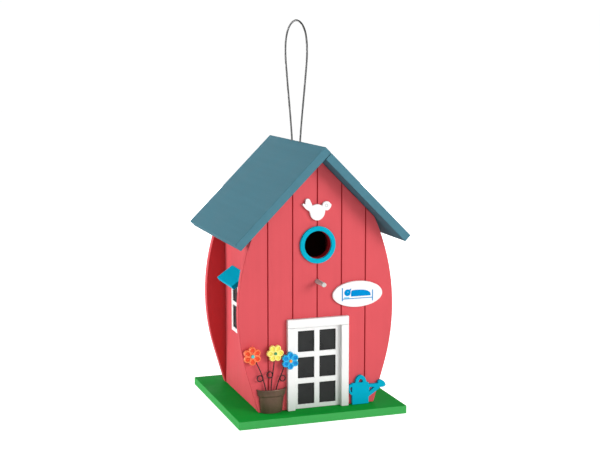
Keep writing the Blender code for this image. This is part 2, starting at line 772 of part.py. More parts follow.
def petal_outline(first, size):
    """The outline of the overlapping round petals."""
    points = []
    for petal in range(PETALS):
        facing = first + 2 * math.pi * petal / PETALS
        centre_x = PETAL_REACH * math.cos(facing)
        centre_z = PETAL_REACH * math.sin(facing)
        for step in range(PETAL_STEPS):
            share = 2 * (step + 0.5) / PETAL_STEPS - 1
            angle = facing + PETAL_HALF_ARC * share
            x = centre_x + PETAL_RADIUS * math.cos(angle)
            z = centre_z + PETAL_RADIUS * math.sin(angle)
            points.append((size * x, size * z))
    return corners(points)


def make_flowers():
    colours = {
        "orange": ((0.94, 0.42, 0.28), TEAL),
        "yellow": ((1.0, 0.90, 0.42), (0.10, 0.45, 0.25)),
        "blue": ((0.10, 0.63, 0.84), (0.94, 0.50, 0.18)),
    }
    for name, (middle, first, button_radius, size) in FLOWERS.items():
        x, z = (value * MM for value in middle)
        petal_colour, button_colour = colours[name]
        outline = petal_outline(first, size)
        head = on_front(f"flower_head_{name}", [outline], HEAD_THICKNESS, x, z, HEAD_OUT)
        finish(bevel(head, 0.5 * MM, 1), petal_colour, 0.35)
        dome = [(0.0, BUTTON_HEIGHT)]
        for step in range(1, BUTTON_STEPS + 1):
            angle = math.radians(90.0 * (1 - step / BUTTON_STEPS))
            dome.append((button_radius * math.cos(angle), BUTTON_HEIGHT * math.sin(angle)))
        dome.append((0.0, 0.0))
        place = (x, FRONT_Y - HEAD_OUT - HEAD_THICKNESS - GAP, z)
        button = turned(f"flower_button_{name}", dome, place, FACING_FRONT, steps=20)
        finish(button, button_colour, 0.35)


def make_watering_can():
    outlines = [CAN_OUTLINE, CAN_TOP_HOLE, CAN_SIDE_HOLE, CAN_SPOUT_HOLE]
    can = on_front("watering_can", [in_metres(outline) for outline in outlines], CAN_THICKNESS)
    bevel(can, 0.3 * MM, 1)
    finish(can, TEAL, 0.4)


def rope_points():
    """Evenly spaced points along a smooth curve through both legs and the top."""
    leg = [Vector((y * MM, z * MM)) for y, z in ROPE_LEG]
    top = [Vector(ROPE_TOP) * MM]
    knots = leg + top + [Vector((-point.x, point.y)) for point in reversed(leg)]
    knots = [2 * knots[0] - knots[1]] + knots + [2 * knots[-1] - knots[-2]]
    fine = []
    for before, start, end, after in zip(knots, knots[1:], knots[2:], knots[3:]):
        for step in range(ROPE_CURVE_STEPS):
            t = step / ROPE_CURVE_STEPS
            fine.append(
                0.5
                * (
                    2 * start
                    + (end - before) * t
                    + (2 * before - 5 * start + 4 * end - after) * t**2
                    + (3 * start - before - 3 * end + after) * t**3
                )
            )
    fine.append(knots[-2])
    length = sum((b - a).length for a, b in zip(fine, fine[1:]))
    count = round(length / ROPE_SPACING)
    points = [fine[0]]
    travelled = 0.0
    for a, b in zip(fine, fine[1:]):
        travelled += (b - a).length
        if travelled >= length * len(points) / count - WELD:
            points.append(b)
    return [(0.0, -point.x, point.y) for point in points]


def make_hanger():
    loop = tube("hanger_loop", rope_points(), ROPE_RADIUS)
    finish(loop, STEEL, 0.4, 1.0)
    height = FERRULE_HIGH_Z - FERRULE_LOW_Z
    section = (
        (ROPE_RADIUS + GAP, height),
        (FERRULE_RADIUS - FERRULE_ROUND, height),
        (FERRULE_RADIUS, height - FERRULE_ROUND),
        (FERRULE_RADIUS, FERRULE_ROUND),
        (FERRULE_RADIUS - FERRULE_ROUND, 0.0),
        (ROPE_RADIUS + GAP, 0.0),
    )
    for end, sign in (("front", -1), ("back", 1)):
        place = (0.0, sign * ROPE_LEG[0][0] * MM, FERRULE_LOW_Z)
        ferrule = turned(f"hanger_ferrule_{end}", section, place, closed=True, steps=20)
        finish(ferrule, STEEL, 0.45, 1.0)


def make_cleanout():
    cover_y = -FRONT_Y + GAP + COVER_THICKNESS / 2
    outline = rounded_rectangle(
        -COVER_HALF_WIDTH,
        COVER_HALF_WIDTH,
        COVER_LOW_Z - PIVOT_Z,
        COVER_HIGH_Z - PIVOT_Z,
        COVER_CORNER,
    )
    pivot = (0.0, cover_y, PIVOT_Z)
    cover = plate("cleanout_cover", [outline], COVER_THICKNESS, pivot)
    bevel(cover, 0.4 * MM)
    combine(cover, cylinder("cover_hole", PILOT_RADIUS, 3 * BOARD, pivot, FACING_FRONT))
    finish(cover, COVER_RED, 0.6)

    washer_y = cover_y + COVER_THICKNESS / 2 + GAP + WASHER_THICKNESS
    section = (
        (PILOT_RADIUS, WASHER_THICKNESS),
        (WASHER_RADIUS, WASHER_THICKNESS),
        (WASHER_RADIUS, 0.0),
        (PILOT_RADIUS, 0.0),
    )
    place = (0.0, washer_y, PIVOT_Z)
    washer = turned("cleanout_washer", section, place, FACING_FRONT, closed=True)
    finish(washer, STEEL, 0.35, 1.0)

    head_y = washer_y + GAP
    profile = [
        (0.0, PAN_SCREW_LENGTH),
        (TIP_RADIUS, PAN_SCREW_LENGTH),
        (SHANK_RADIUS, PAN_SCREW_LENGTH - TIP_LENGTH),
        (SHANK_RADIUS, 0.0),
        (PAN_RADIUS, 0.0),
    ]
    profile += [(wide * PAN_RADIUS, -high * PAN_HEIGHT) for wide, high in PAN_DOME]
    screw = turned("cleanout_screw", profile, (0.0, head_y, PIVOT_Z), FACING_FRONT)
    cut_cross(screw, (0.0, head_y + PAN_HEIGHT, PIVOT_Z), FACING_FRONT)
    finish(screw, STEEL, 0.35, 1.0)


def gather():
    """Parents every piece to one empty at the origin."""
    centre = bpy.data.objects.new("birdhouse_origin", None)
    PARTS.objects.link(centre)
    for piece in list(PARTS.objects) + list(CUTTERS.objects):
        if piece is not centre:
            piece.parent = centre


clear_scene()
PARTS = collection("birdhouse")
CUTTERS = collection("cutters")
make_base()
make_base_screws()
make_front_wall()
make_back_wall()
make_side_walls()
make_roof()
make_entrance_ring()
make_perch()
make_bird()
make_sign()
make_door()
make_windows()
make_awnings()
make_flower_pot()
make_stems()
make_flowers()
make_watering_can()
make_hanger()
make_cleanout()
gather()
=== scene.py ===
"""Looks for the hanging birdhouse: camera, light, materials and the fine meshes.

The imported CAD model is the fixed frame, in metres with +Z up and the front facing -Y.
"""

import math

import bmesh
import bpy
from mathutils import Matrix, Vector


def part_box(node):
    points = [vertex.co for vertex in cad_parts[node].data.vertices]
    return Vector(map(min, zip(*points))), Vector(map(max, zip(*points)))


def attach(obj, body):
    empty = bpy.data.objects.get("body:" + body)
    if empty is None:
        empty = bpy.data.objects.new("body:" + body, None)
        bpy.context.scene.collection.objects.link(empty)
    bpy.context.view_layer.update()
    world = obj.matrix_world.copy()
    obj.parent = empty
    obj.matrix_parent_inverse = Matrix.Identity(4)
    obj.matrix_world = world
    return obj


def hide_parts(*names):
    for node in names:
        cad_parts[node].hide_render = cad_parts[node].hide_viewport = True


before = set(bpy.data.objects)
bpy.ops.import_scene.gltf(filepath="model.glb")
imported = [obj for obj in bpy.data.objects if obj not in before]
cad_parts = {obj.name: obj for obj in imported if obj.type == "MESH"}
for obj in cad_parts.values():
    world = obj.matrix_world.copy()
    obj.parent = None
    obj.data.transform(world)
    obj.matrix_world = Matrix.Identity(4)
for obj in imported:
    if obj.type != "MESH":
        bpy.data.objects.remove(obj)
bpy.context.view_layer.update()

MM = 0.001
# Vertices nearer than this in metres become one; the wide one is for CAD meshes
WELD = 1e-7
WIDE_WELD = 1e-6
HOUSE = "house"
FRONT_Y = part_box("front_wall")[0].y
BACK_INNER_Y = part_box("back_wall")[0].y
NEST_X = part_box("right_side_wall")[0].x
BASE_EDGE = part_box("base_board")[1].x
ENTRANCE_Z = sum(corner.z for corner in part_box("entrance_ring")) / 2
GAP = 0.3 * MM


# Camera, light and floor

SENSOR_WIDTH = 36.0
LENS = 73.79
NEAREST_SEEN = 0.05
FARTHEST_SEEN = 50.0
CAMERA_PLACE = (-0.4160, -1.2179, 0.3745)
CAMERA_DOWN = 8.206
CAMERA_TURN = -19.044
LIGHT_TARGET = (0.0, 0.0, 0.16)
# Each light's power, its width and height, and its place
LIGHTS = {
    "key_front": (26.0, (1.0, 0.8), (1.05, -1.75, 0.70)),
    "fill_front": (8.0, (1.2, 0.9), (-0.25, -2.0, 0.55)),
    "fill_left": (35.0, (0.9, 0.8), (-1.85, 0.75, 0.52)),
    "fill_right": (12.0, (1.0, 1.0), (2.0, 0.2, 0.5)),
    "back": (15.0, (1.3, 1.0), (0.4, 2.0, 0.4)),
}
# The strength that falls on things, and the strength that the view sees
WORLD_GLOW = (0.27, 1.02)
FLOOR_GLOW = (0.10, 0.80)
FLOOR_HALF_WIDTH = 6.0
FLOOR_GREY = (0.86, 0.86, 0.86, 1.0)
FLOOR_ROUGHNESS = 0.9
PURE_WHITE = (1.0, 1.0, 1.0, 1.0)


def make_camera():
    """The view from the front left, a little above."""
    data = bpy.data.cameras.new("camera")
    data.sensor_width = SENSOR_WIDTH
    data.lens = LENS
    data.clip_start = NEAREST_SEEN
    data.clip_end = FARTHEST_SEEN
    camera = bpy.data.objects.new("camera", data)
    camera.location = CAMERA_PLACE
    tilt = math.radians(90.0 - CAMERA_DOWN)
    camera.rotation_euler = (tilt, 0.0, math.radians(CAMERA_TURN))
    bpy.context.scene.collection.objects.link(camera)
    bpy.context.scene.camera = camera


def area_light(name, power, size, place):
    """A broad light that faces the middle of the house."""
    data = bpy.data.lights.new(name, "AREA")
    data.shape = "RECTANGLE"
    data.size, data.size_y = size
    data.energy = power
    light = bpy.data.objects.new(name, data)
    light.location = place
    light.rotation_mode = "QUATERNION"
    towards = Vector(LIGHT_TARGET) - Vector(place)
    light.rotation_quaternion = towards.to_track_quat("-Z", "Y")
    bpy.context.scene.collection.objects.link(light)


def glow(tree, strength, falling, seen):
    """Sets a strength that differs between what it lights and what the view sees."""
    ray = tree.nodes.new("ShaderNodeLightPath")
    choice = tree.nodes.new("ShaderNodeMapRange")
    choice.inputs["To Min"].default_value = falling
    choice.inputs["To Max"].default_value = seen
    tree.links.new(ray.outputs["Is Camera Ray"], choice.inputs["Value"])
    tree.links.new(choice.outputs["Result"], strength)


def make_world():
    world = bpy.data.worlds.new("studio")
    world.use_nodes = True
    background = world.node_tree.nodes["Background"]
    background.inputs["Color"].default_value = PURE_WHITE
    glow(world.node_tree, background.inputs["Strength"], *WORLD_GLOW)
    bpy.context.scene.world = world


def make_floor():
    mesh = bpy.data.meshes.new("floor")
    made = bmesh.new()
    bmesh.ops.create_grid(made, x_segments=1, y_segments=1, size=FLOOR_HALF_WIDTH)
    made.to_mesh(mesh)
    made.free()
    floor = bpy.data.objects.new("floor", mesh)
    bpy.context.scene.collection.objects.link(floor)
    pale = bpy.data.materials.new("floor_pale")
    pale.use_nodes = True
    shader = pale.node_tree.nodes["Principled BSDF"]
    shader.inputs["Base Color"].default_value = FLOOR_GREY
    shader.inputs["Roughness"].default_value = FLOOR_ROUGHNESS
    shader.inputs["Emission Color"].default_value = PURE_WHITE
    glow(pale.node_tree, shader.inputs["Emission Strength"], *FLOOR_GLOW)
    mesh.materials.append(pale)


def make_studio():
    """Broad soft light from the front right and the left on a pale floor."""
    for name, light in LIGHTS.items():
        area_light(name, *light)
    make_world()
    make_floor()


# Materials

NOISE_LOW, NOISE_HIGH = 0.3, 0.7
ALONG = {"X": (0.05, 1.0, 1.0), "Y": (1.0, 0.05, 1.0), "Z": (1.0, 1.0, 0.05)}
BAND_DEPTH = 0.35 * MM
FIBRE_DEPTH = 0.12 * MM
STIPPLE_DEPTH = 0.04 * MM
WALL_ROUGHNESS = 0.52
TRIM = {"roughness": 0.4, "vary": 0.015, "relief": 0.6}
# Distances behind the front face over which the painted shade in the grooves comes in, and ends
GROOVE_DEPTHS = (0.35 * MM, 0.9 * MM)
INSIDE_DEPTHS = (1.7 * MM, 1.8 * MM)
# Radii over which the same painted shade comes in inside the entrance
BORE_RADII = (14.3 * MM, 14.15 * MM)
# Distances behind the back wall's inner face over which the painted shade on that face ends
INNER_FACE_DEPTHS = (0.2 * MM, 0.8 * MM)
# How far past the nest space's sides its painted shade fades out
NEST_FADE = 2.0 * MM
# Distances in from the base's edges over which the painted sheen on the edges comes in
EDGE_SHEEN_DEPTHS = (0.6 * MM, 0.1 * MM)
# Heights over which the painted shade at the trim's foot comes in
FOOT_SHADE_HEIGHTS = (42.0 * MM, 9.0 * MM)


class Surface:
    """A material's node tree, with the nodes that the finishes below share."""

    def __init__(self, name, roughness, metallic=0.0):
        self.material = bpy.data.materials.new(name)
        self.material.use_nodes = True
        self.tree = self.material.node_tree
        self.shader = self.tree.nodes["Principled BSDF"]
        self.shader.inputs["Roughness"].default_value = roughness
        self.shader.inputs["Metallic"].default_value = metallic
        self.where = self.tree.nodes.new("ShaderNodeTexCoord").outputs["Object"]

    def link(self, source, target):
        self.tree.links.new(source, target)

    def noise(self, scale, detail=3.0, stretch=(1.0, 1.0, 1.0)):
        """Noise from 0 to 1, whose features are about 1 / scale metres across."""
        mapping = self.tree.nodes.new("ShaderNodeMapping")
        mapping.inputs["Scale"].default_value = [scale * share for share in stretch]
        noise = self.tree.nodes.new("ShaderNodeTexNoise")
        noise.inputs["Scale"].default_value = 1.0
        noise.inputs["Detail"].default_value = detail
        self.link(self.where, mapping.inputs["Vector"])
        self.link(mapping.outputs["Vector"], noise.inputs["Vector"])
        return noise.outputs["Fac"]

    def between(self, value, low, high, to_low=0.0, to_high=1.0):
        """The value's range from low to high, stretched and clamped."""
        node = self.tree.nodes.new("ShaderNodeMapRange")
        node.inputs["From Min"].default_value = low
        node.inputs["From Max"].default_value = high
        node.inputs["To Min"].default_value = to_low
        node.inputs["To Max"].default_value = to_high
        self.link(value, node.inputs["Value"])
        return node.outputs["Result"]

    def mix(self, share, first, second):
        """The first colour where share is 0 and the second where it is 1."""
        node = self.tree.nodes.new("ShaderNodeMix")
        node.data_type = "RGBA"
        self.link(share, node.inputs[0])
        for colour, socket in ((first, node.inputs[6]), (second, node.inputs[7])):
            if isinstance(colour, tuple):
                socket.default_value = (*colour, 1.0)
            else:
                self.link(colour, socket)
        return node.outputs[2]

    def calculate(self, operation, first, second=None):
        """The result of a math node on one or two values, each a socket or a number."""
        node = self.tree.nodes.new("ShaderNodeMath")
        node.operation = operation
        for value, socket in zip((first, second), node.inputs):
            if isinstance(value, float):
                socket.default_value = value
            elif value is not None:
                self.link(value, socket)
        return node.outputs[0]

    def add(self, first, second, first_share=0.5, second_share=0.5):
        """The sum of two values, each times its share."""
        return self.calculate(
            "ADD",
            self.calculate("MULTIPLY", first, first_share),
            self.calculate("MULTIPLY", second, second_share),
        )

    def vector(self, operation, first, second, result):
        """The named result of a vector math node on a socket and three numbers."""
        node = self.tree.nodes.new("ShaderNodeVectorMath")
        node.operation = operation
        self.link(first, node.inputs[0])
        node.inputs[1].default_value = second
        return node.outputs[result]

    def axis(self, name):
        """The coordinate along one axis of the frame."""
        node = self.tree.nodes.new("ShaderNodeSeparateXYZ")
        self.link(self.where, node.inputs[0])
        return node.outputs[name]

    def from_middle(self, name):
        """The distance from the middle plane along one axis."""
        return self.calculate("ABSOLUTE", self.axis(name))

    def colour(self, value):
        self.link(value, self.shader.inputs["Base Color"])

    def cover(self, share, colour):
        """Lays another colour over the present one where share is 1."""
        plain = self.shader.inputs["Base Color"].links[0].from_socket
        self.colour(self.mix(share, plain, colour))

    def roughness(self, value, low, high):
        spread = self.between(value, NOISE_LOW, NOISE_HIGH, low, high)
        self.link(spread, self.shader.inputs["Roughness"])

    def bump(self, *layers):
        """Bumps from (height, depth in metres, strength), the first one lowest."""
        last = None
        for height, depth, strength in layers:
            node = self.tree.nodes.new("ShaderNodeBump")
            node.inputs["Distance"].default_value = depth
            node.inputs["Strength"].default_value = strength
            self.link(height, node.inputs["Height"])
            if last:
                self.link(last, node.inputs["Normal"])
            last = node.outputs["Normal"]
        self.link(last, self.shader.inputs["Normal"])


def scaled(colour, share):
    return tuple(channel * share for channel in colour)


def painted_wood(name, colour, grain, roughness=0.5, vary=0.05, relief=1.0, sheen=0.04):
    """Brushed satin paint over wood, with the grain faintly raised through it."""
    paint = Surface(name, roughness)
    paint.shader.inputs["Specular IOR Level"].default_value = sheen
    fibres = paint.noise(900.0, 4.0, ALONG[grain])
    bands = paint.noise(140.0, 3.0, ALONG[grain])
    blotches = paint.noise(28.0, 3.0)
    stipple = paint.noise(1500.0, 2.0)
    tone = paint.between(paint.add(bands, blotches), 0.36, 0.64)
    paint.colour(paint.mix(tone, scaled(colour, 1.0 - vary), scaled(colour, 1.0 + vary)))
    paint.roughness(blotches, roughness - 0.06, roughness + 0.08)
    paint.bump(
        (bands, BAND_DEPTH * relief, 0.35),
        (fibres, FIBRE_DEPTH * relief, 0.5),
        (stipple, STIPPLE_DEPTH * relief, 0.35),
    )
    return paint


def wall_paint(name, colour, groove_shade_colour):
    """Painted planks, with painted shade down in the grooves and inside the entrance."""
    paint = painted_wood(name, colour, "Z", roughness=WALL_ROUGHNESS, vary=0.025)
    depth, inside = (
        paint.between(paint.axis("Y"), FRONT_Y + start, FRONT_Y + end)
        for start, end in (GROOVE_DEPTHS, INSIDE_DEPTHS)
    )
    groove_shade = paint.calculate("SUBTRACT", depth, inside)
    across = paint.vector("MULTIPLY", paint.where, (1.0, 0.0, 1.0), "Vector")
    radius = paint.vector("DISTANCE", across, (0.0, 0.0, ENTRANCE_Z), "Value")
    bore_shade = paint.between(radius, *BORE_RADII)
    paint.cover(paint.calculate("MAXIMUM", groove_shade, bore_shade), groove_shade_colour)
    return paint


def inner_shade_paint(name, colour, shade_colour, nest_shade_colour):
    """Painted board with painted shade on its inner face: deeper red beside the nest space,
    near black in it.
    """
    paint = painted_wood(name, colour, "Z", roughness=WALL_ROUGHNESS, vary=0.03)
    beside = paint.between(paint.from_middle("X"), NEST_X, NEST_X + NEST_FADE)
    inner = paint.mix(beside, nest_shade_colour, shade_colour)
    start, end = INNER_FACE_DEPTHS
    inside = paint.between(paint.axis("Y"), BACK_INNER_Y + end, BACK_INNER_Y + start)
    paint.cover(inside, inner)
    return paint


def trim_paint(name, colour, foot_shade_colour):
    """Painted upright trim, with a greyish green painted shade towards its foot."""
    paint = painted_wood(name, colour, "Z", **TRIM)
    paint.cover(paint.between(paint.axis("Z"), *FOOT_SHADE_HEIGHTS), foot_shade_colour)
    return paint


def base_paint(name, colour, edge_sheen_colour):
    """Painted board with a paler painted sheen along its edges."""
    paint = painted_wood(name, colour, "X", roughness=0.6, sheen=0.008)
    start, end = EDGE_SHEEN_DEPTHS
    at_side, at_end = (
        paint.between(paint.from_middle(axis), BASE_EDGE - start, BASE_EDGE - end)
        for axis in ("X", "Y")
    )
    paint.cover(paint.calculate("ADD", at_side, at_end), edge_sheen_colour)
    return paint


def bare_wood(name, light, dark, grain):
    """Pale sealed wood with fine darker fibres."""
    wood = Surface(name, 0.6)
    fibres = wood.noise(1600.0, 4.0, ALONG[grain])
    bands = wood.noise(500.0, 2.0, ALONG[grain])
    wood.colour(wood.mix(wood.between(wood.add(fibres, bands), 0.38, 0.6), dark, light))
    wood.roughness(bands, 0.5, 0.7)
    wood.bump((bands, 0.1 * MM, 0.3), (fibres, 0.05 * MM, 0.5))
    return wood


def enamel(name, colour, rim_highlight_colour, roughness=0.22):
    """Gloss enamel with a clear coat, paler outside the hollows as a painted highlight on the
    raised rims.
    """
    coat = Surface(name, roughness)
    coat.shader.inputs["Specular IOR Level"].default_value = 0.12
    hollow = coat.tree.nodes.new("ShaderNodeAttribute")
    hollow.attribute_name = "hollow"
    cloudy = coat.noise(700.0, 2.0)
    share = coat.add(hollow.outputs["Fac"], cloudy, 1.0, 0.25)
    coat.colour(coat.mix(coat.between(share, 0.15, 0.95), rim_highlight_colour, colour))
    coat.roughness(cloudy, roughness - 0.04, roughness + 0.08)
    coat.shader.inputs["Coat Weight"].default_value = 0.22
    coat.shader.inputs["Coat Roughness"].default_value = 0.12
    coat.bump((cloudy, 0.05 * MM, 0.35))
    return coat


def glossy(name, colour, roughness=0.3, sheen=0.25):
    """Smooth gloss paint on a small moulded piece."""
    coat = Surface(name, roughness)
    coat.shader.inputs["Specular IOR Level"].default_value = sheen
    cloudy = coat.noise(600.0, 2.0)
    coat.colour(coat.mix(cloudy, scaled(colour, 0.85), scaled(colour, 1.12)))
    coat.roughness(cloudy, roughness - 0.05, roughness + 0.08)
    coat.bump((coat.noise(1800.0, 2.0), 0.03 * MM, 0.3))
    return coat


def tin(name, colour):
    """Dark enamelled tin with a slightly beaten surface."""
    sheet = Surface(name, 0.42, 0.5)
    beaten = sheet.noise(260.0, 2.0)
    worn = sheet.between(sheet.noise(90.0, 4.0), 0.35, 0.68)
    fine = sheet.noise(1500.0, 3.0)
    sheet.colour(sheet.mix(worn, scaled(colour, 0.82), scaled(colour, 1.25)))
    sheet.roughness(fine, 0.34, 0.55)
    sheet.bump((beaten, 0.25 * MM, 0.35), (fine, 0.05 * MM, 0.35))
    return sheet


def metal(name, colour, roughness, brush=(1.0, 1.0, 1.0)):
    """Bare drawn or plated metal with fine draw marks."""
    bare = Surface(name, roughness, 1.0)
    marks = bare.noise(2500.0, 3.0, brush)
    stain = bare.noise(250.0, 3.0)
    bare.colour(bare.mix(stain, scaled(colour, 0.8), scaled(colour, 1.1)))
    bare.roughness(marks, roughness - 0.08, roughness + 0.12)
    bare.bump((marks, 0.03 * MM, 0.4))
    return bare


def dark_panel(name):
    """The dark sheet that stands for the glass: smooth, with a faint haze."""
    sheet = Surface(name, 0.3)
    sheet.shader.inputs["Specular IOR Level"].default_value = 0.1
    haze = sheet.noise(60.0, 4.0)
    waves = sheet.noise(90.0, 2.0)
    dust = sheet.noise(1800.0, 2.0)
    sheet.colour(sheet.mix(haze, PANE_DARK, PANE_HAZE))
    sheet.roughness(haze, 0.24, 0.40)
    sheet.bump((waves, 0.2 * MM, 0.05), (dust, 0.02 * MM, 0.3))
    return sheet


# Colours, as linear shares of red, green and blue

RED = (0.655, 0.092, 0.107)
# A deeper red painted as shade on the back wall's inner face, outside the nest space
RED_PAINTED_SHADE = (0.62, 0.043, 0.050)
# A darker red painted as shade in the grooves and inside the entrance
RED_GROOVE_SHADE = (0.42, 0.016, 0.024)
# Near black painted as shade on the back wall's inner face inside the nest space
NEST_PAINTED_SHADE = (0.05, 0.012, 0.010)
GREEN = (0.008, 0.36, 0.040)
# A paler, whiter green painted as sheen on the base's edges
GREEN_EDGE_SHEEN = (0.055, 0.38, 0.090)
BLUE = (0.073, 0.195, 0.248)
WHITE = (0.86, 0.86, 0.85)
# Greyish green painted as shade at the foot of the upright trim
WHITE_FOOT_SHADE = (0.60, 0.63, 0.60)
PALE_GREY = (0.60, 0.60, 0.60)
RING_CYAN = (0.0, 0.385, 0.54)
CAN_TEAL = (0.0, 0.375, 0.55)
AWNING_TEAL = (0.0, 0.385, 0.565)
PANE_DARK = (0.022, 0.023, 0.023)
PANE_HAZE = (0.036, 0.037, 0.037)
BLACK_WIRE = (0.022, 0.018, 0.018)
PERCH_LIGHT = (0.66, 0.67, 0.63)
PERCH_DARK = (0.50, 0.49, 0.46)
POT_BROWN = (0.145, 0.088, 0.058)


def make_materials():
    wire = metal("black_wire", BLACK_WIRE, 0.42, ALONG["Z"])
    wire.shader.inputs["Metallic"].default_value = 0.4
    surfaces = {
        "front_red": wall_paint("front_red", RED, RED_GROOVE_SHADE),
        "wall_red": painted_wood("wall_red", RED, "Z", roughness=WALL_ROUGHNESS, vary=0.03),
        "back_red": inner_shade_paint("back_red", RED, RED_PAINTED_SHADE, NEST_PAINTED_SHADE),
        "roof_blue": painted_wood(
            "roof_blue", BLUE, "Y", roughness=0.58, relief=1.2, sheen=0.02
        ),
        "base_green": base_paint("base_green", GREEN, GREEN_EDGE_SHEEN),
        "trim_white_z": trim_paint("trim_white_z", WHITE, WHITE_FOOT_SHADE),
        "trim_white_x": painted_wood("trim_white_x", WHITE, "X", **TRIM),
        "pale_grey": painted_wood("pale_grey", PALE_GREY, "X", vary=0.02, relief=0.6),
        "ring_cyan": painted_wood(
            "ring_cyan", RING_CYAN, "X", roughness=0.42, vary=0.03, relief=0.6
        ),
        "can_teal": painted_wood("can_teal", CAN_TEAL, "X", roughness=0.38, relief=0.6),
        "awning_teal": painted_wood(
            "awning_teal", AWNING_TEAL, "Y", vary=0.04, relief=0.7, sheen=0.005
        ),
        "perch_wood": bare_wood("perch_wood", PERCH_LIGHT, PERCH_DARK, "Y"),
        "panes": dark_panel("panes"),
        "pot_tin": tin("pot_tin", POT_BROWN),
        "wire": wire,
        # Each petal's colour pair: the hollows' colour, then a paler one painted as highlight
        # on the rims
        "petal_orange": enamel("petal_orange", (0.76, 0.065, 0.02), (0.92, 0.19, 0.075)),
        "petal_yellow": enamel("petal_yellow", (0.87, 0.72, 0.11), (0.96, 0.83, 0.22)),
        "petal_blue": enamel("petal_blue", (0.0, 0.235, 0.62), (0.03, 0.44, 0.78)),
        "button_turquoise": glossy("button_turquoise", (0.08, 0.58, 0.58)),
        "button_green": glossy("button_green", (0.06, 0.30, 0.13)),
        "button_orange": glossy("button_orange", (0.95, 0.30, 0.03)),
        "ink_blue": glossy("ink_blue", (0.0, 0.25, 0.60), roughness=0.5, sheen=0.02),
        "ink_pale": glossy("ink_pale", (0.28, 0.62, 0.85), roughness=0.5, sheen=0.02),
        "rope_steel": metal("rope_steel", (0.17, 0.17, 0.17), 0.36),
        "ferrule": metal("ferrule", (0.58, 0.59, 0.60), 0.4, ALONG["Z"]),
        "screw_zinc": metal("screw_zinc", (0.60, 0.61, 0.62), 0.3),
        "screw_brass": metal("screw_brass", (0.72, 0.52, 0.22), 0.32),
    }
    return {name: surface.material for name, surface in surfaces.items()}


# Mesh helpers

UPRIGHT = Matrix.Rotation(math.radians(90.0), 4, "X")


def piece_from(name, mesh, material, slot, body, *nodes):
    """Shows the mesh as a piece that stands for CAD nodes and rides on their body."""
    piece = bpy.data.objects.new(name, mesh)
    bpy.context.scene.collection.objects.link(piece)
    mesh.materials.clear()
    mesh.materials.append(MATERIALS[material])
    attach(piece, body)
    if nodes:
        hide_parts(*nodes)
    return piece


def smooth(mesh, angle=35.0):
    mesh.shade_smooth()
    mesh.set_sharp_from_angle(angle=math.radians(angle))


def mesh_of(name, made):
    mesh = bpy.data.meshes.new(name)
    bmesh.ops.recalc_face_normals(made, faces=made.faces)
    made.to_mesh(mesh)
    made.free()
    return mesh


def front_plate(name, outlines, y_front, y_back, rounding, segments=3, smoothness=8):
    """A flat piece facing the front, its edges rounded; outlines are (x, z) in metres."""
    curve = bpy.data.curves.new(name, "CURVE")
    curve.dimensions = "2D"
    curve.fill_mode = "BOTH"
    curve.extrude = (y_back - y_front) / 2
    curve.resolution_u = smoothness
    for outline in outlines:
        spline = curve.splines.new("BEZIER")
        spline.bezier_points.add(len(outline) - 1)
        for made, point in zip(spline.bezier_points, outline):
            handle = "VECTOR" if len(point) == 3 else "AUTO"
            made.co = (point[0], point[1], 0.0)
            made.handle_left_type = handle
            made.handle_right_type = handle
        spline.use_cyclic_u = True
    guide = bpy.data.objects.new(name, curve)
    bpy.context.scene.collection.objects.link(guide)
    bpy.context.view_layer.update()
    graph = bpy.context.evaluated_depsgraph_get()
    flat = bpy.data.meshes.new_from_object(guide.evaluated_get(graph))
    bpy.data.objects.remove(guide)
    made = bmesh.new()
    made.from_mesh(flat)
    bmesh.ops.remove_doubles(made, verts=made.verts, dist=WIDE_WELD)
    bmesh.ops.dissolve_limit(
        made, angle_limit=math.radians(0.1), verts=made.verts, edges=made.edges
    )
    middle = Matrix.Translation((0.0, (y_front + y_back) / 2, 0.0))
    bmesh.ops.transform(made, matrix=middle @ UPRIGHT, verts=made.verts)
    return rounded(mesh_of(name, made), rounding, segments)


def rounded(mesh, width, segments):
    """The mesh with its sharp edges rounded and its flat faces shaded flat."""
    worker = bpy.data.objects.new("worker", mesh)
    bpy.context.scene.collection.objects.link(worker)
    mesh.shade_smooth()
    bevel = worker.modifiers.new("round", "BEVEL")
    bevel.width = width
    bevel.segments = segments
    bevel.limit_method = "ANGLE"
    bevel.angle_limit = math.radians(30.0)
    bevel.harden_normals = True
    bpy.context.view_layer.update()
    graph = bpy.context.evaluated_depsgraph_get()
    done = bpy.data.meshes.new_from_object(worker.evaluated_get(graph))
    bpy.data.objects.remove(worker)
    return done


def bridge(made, row, following, closed=True):
    """Joins two rows of vertices with faces, and their ends too if they are closed."""
    count = len(row)
    for i in range(count if closed else count - 1):
        j = (i + 1) % count
        made.faces.new((row[i], row[j], following[j], following[i]))


def wall_spot(low, high):
    """The middle of a box's back face, where its piece meets the wall."""
    return Vector(((low.x + high.x) / 2, high.y, (low.z + high.z) / 2))


def turned(name, profile, steps, place, closed=False):
    """A profile of (radius, distance out) in metres, turned about the way to the front."""
    made = bmesh.new()
    rings = []
    for step in range(steps):
        angle = 2 * math.pi * step / steps
        spots = [(r * math.cos(angle), r * math.sin(angle), out) for r, out in profile]
        rings.append([made.verts.new(spot) for spot in spots])
    for ring, following in zip(rings, rings[1:] + rings[:1]):
        bridge(made, ring, following, closed)
    bmesh.ops.remove_doubles(made, verts=made.verts, dist=WELD)
    moved = Matrix.Translation(place) @ UPRIGHT
    bmesh.ops.transform(made, matrix=moved, verts=made.verts)
    mesh = mesh_of(name, made)
    smooth(mesh)
    return mesh


